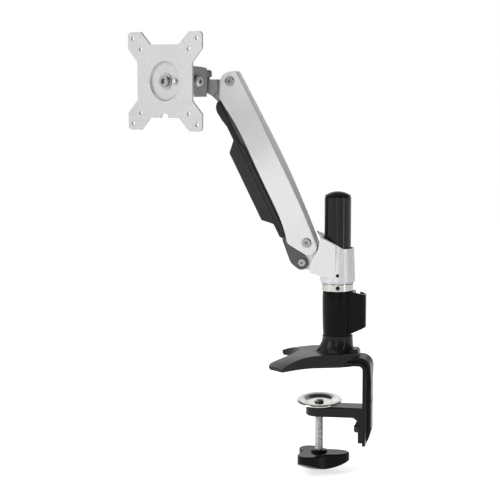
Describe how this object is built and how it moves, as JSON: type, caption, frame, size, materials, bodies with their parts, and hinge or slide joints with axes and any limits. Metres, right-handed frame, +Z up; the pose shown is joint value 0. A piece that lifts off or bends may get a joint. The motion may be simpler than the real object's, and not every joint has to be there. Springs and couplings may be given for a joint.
{
  "type": "monitor arm",
  "caption": "Desk-clamped monitor arm: a pole on a clamped foot, a gas-sprung parallelogram arm that swivels and lifts, and a VESA plate that swivels, tilts and turns.",
  "frame": {"origin": "on the pole's axis at the height of the desk's top face", "axes": "+Z up along the pole; -Y over the desk, the way the arm reaches at rest; +X to the side the plate's front is turned towards at rest"},
  "size_m": [0.165, 0.2897, 0.5255],
  "materials": {
    "cast_black": "satin black powder coat on a casting",
    "bracket_black": "satin black powder coat on bent steel",
    "pole_black": "semi-gloss black on steel tube",
    "cylinder_black": "semi-gloss black",
    "gloss_black_plastic": "moulded, fairly glossy",
    "black_plastic": "fine moulded grain",
    "pad_rubber": "matt",
    "silver_casting": "silver powder coat, fine metallic grain",
    "plate_grey": "light grey metallic powder coat",
    "head_casting": "darker grey metallic coat",
    "link_steel": "dark grey coat",
    "polished_steel": "chromed",
    "zinc_steel": "zinc plated",
    "plain_steel": "bright turned steel",
    "gunmetal_bolt": "dark nickel",
    "black_screw": "black oxide",
    "bronze": "sintered bronze"
  },
  "bodies": {
    "base": {"desk_foot": "cast_black", "desk_pad": "pad_rubber", "clamp_bracket": "bracket_black", "clamp_jaw": "cast_black", "jaw_screws": "black_screw", "foot_screws": "zinc_steel", "pole": "pole_black", "pole_plug": "plain_steel", "pole_bolt": "zinc_steel", "pole_cap": "gloss_black_plastic", "pole_sleeve": "gloss_black_plastic", "cable_clip": "gloss_black_plastic"},
    "clamp_pad": {"clamp_disc": "polished_steel"},
    "spindle": {"clamp_screw": "zinc_steel", "clamp_knob": "gloss_black_plastic"},
    "ring": {"height_ring": "polished_steel", "ring_screw": "black_screw"},
    "shoulder": {"collar": "silver_casting", "collar_bush": "black_plastic", "slip_washer": "black_plastic", "collar_screw": "black_screw", "tongue_bushes": "bronze", "spring_pin": "plain_steel"},
    "upper_arm": {"arm_channel": "silver_casting", "arm_pivot_bolts": "gunmetal_bolt", "arm_pivot_nuts": "gunmetal_bolt", "arm_spacers": "black_plastic", "cylinder_pin": "plain_steel", "gas_cylinder": "cylinder_black"},
    "piston": {"spring_rod": "polished_steel", "spring_end": "plain_steel"},
    "link": {"lower_link": "link_steel", "link_pin_upper": "plain_steel", "link_bolt_lower": "gunmetal_bolt", "link_nut_lower": "gunmetal_bolt", "link_cover": "black_plastic", "cover_screws": "black_screw", "cable_cover": "black_plastic"},
    "head": {"head_link": "head_casting", "head_bushes": "bronze", "swivel_bush": "black_plastic"},
    "bracket": {"tilt_bracket": "head_casting", "swivel_pin": "plain_steel", "swivel_washer": "black_plastic", "tilt_bolt": "zinc_steel", "tilt_nut": "zinc_steel", "tilt_washers": "zinc_steel"},
    "knuckle": {"tilt_knuckle": "head_casting", "tilt_bush": "bronze", "centre_bolt": "zinc_steel", "centre_washer": "zinc_steel", "friction_washer": "black_plastic"},
    "plate": {"vesa_plate": "plate_grey", "stop_screw": "zinc_steel"}
  },
  "joints": [
    {"name": "height_slide", "type": "slide", "parent": "base", "child": "ring", "axis": [0, 0, 1], "range_m": [0, 0.058]},
    {"name": "pole_swivel", "type": "hinge", "parent": "ring", "child": "shoulder", "pos_m": [0, 0, 0.12], "axis": [0, 0, 1], "continuous": true},
    {"name": "arm_lift", "type": "hinge", "parent": "shoulder", "child": "upper_arm", "pos_m": [0, -0.0355, 0.1465], "axis": [1, 0, 0], "range_deg": [-2, 99]},
    {"name": "link_follow", "type": "hinge", "parent": "shoulder", "child": "link", "pos_m": [0, -0.0418, 0.1221], "axis": [1, 0, 0], "range_deg": [-2, 99]},
    {"name": "head_level", "type": "hinge", "parent": "upper_arm", "child": "head", "pos_m": [0, -0.12887, 0.33794], "axis": [1, 0, 0], "range_deg": [-99, 2]},
    {"name": "spring_travel", "type": "slide", "parent": "upper_arm", "child": "piston", "axis": [0, -0.3691, 0.9294], "range_m": [-0.001, 0.0175]},
    {"name": "head_swivel", "type": "hinge", "parent": "head", "child": "bracket", "pos_m": [0, -0.1625, 0.34], "axis": [0, 0, 1], "range_deg": [-146, 24]},
    {"name": "plate_tilt", "type": "hinge", "parent": "bracket", "child": "knuckle", "pos_m": [0.02974, -0.17898, 0.338], "axis": [0.4848, 0.8746, 0], "range_deg": [-40, 20]},
    {"name": "plate_rotate", "type": "hinge", "parent": "knuckle", "child": "plate", "pos_m": [0.05947, -0.19547, 0.338], "axis": [0.8746, -0.4848, 0], "range_deg": [-90, 90]},
    {"name": "clamp_travel", "type": "slide", "parent": "base", "child": "clamp_pad", "axis": [0, 0, 1], "range_m": [0, 0.036]},
    {"name": "clamp_turn", "type": "hinge", "parent": "clamp_pad", "child": "spindle", "pos_m": [0, -0.0215, -0.08], "axis": [0, 0, 1], "range_deg": [0, 8640]}
  ],
  "couplings": [
    {"joint": "link_follow", "follows": "arm_lift", "ratio": 1},
    {"joint": "head_level", "follows": "arm_lift", "ratio": -1},
    {"joint": "spring_travel", "follows": "arm_lift", "m_per_rad": 0.00968},
    {"joint": "clamp_travel", "follows": "clamp_turn", "m_per_rad": 0.00023873}
  ]
}
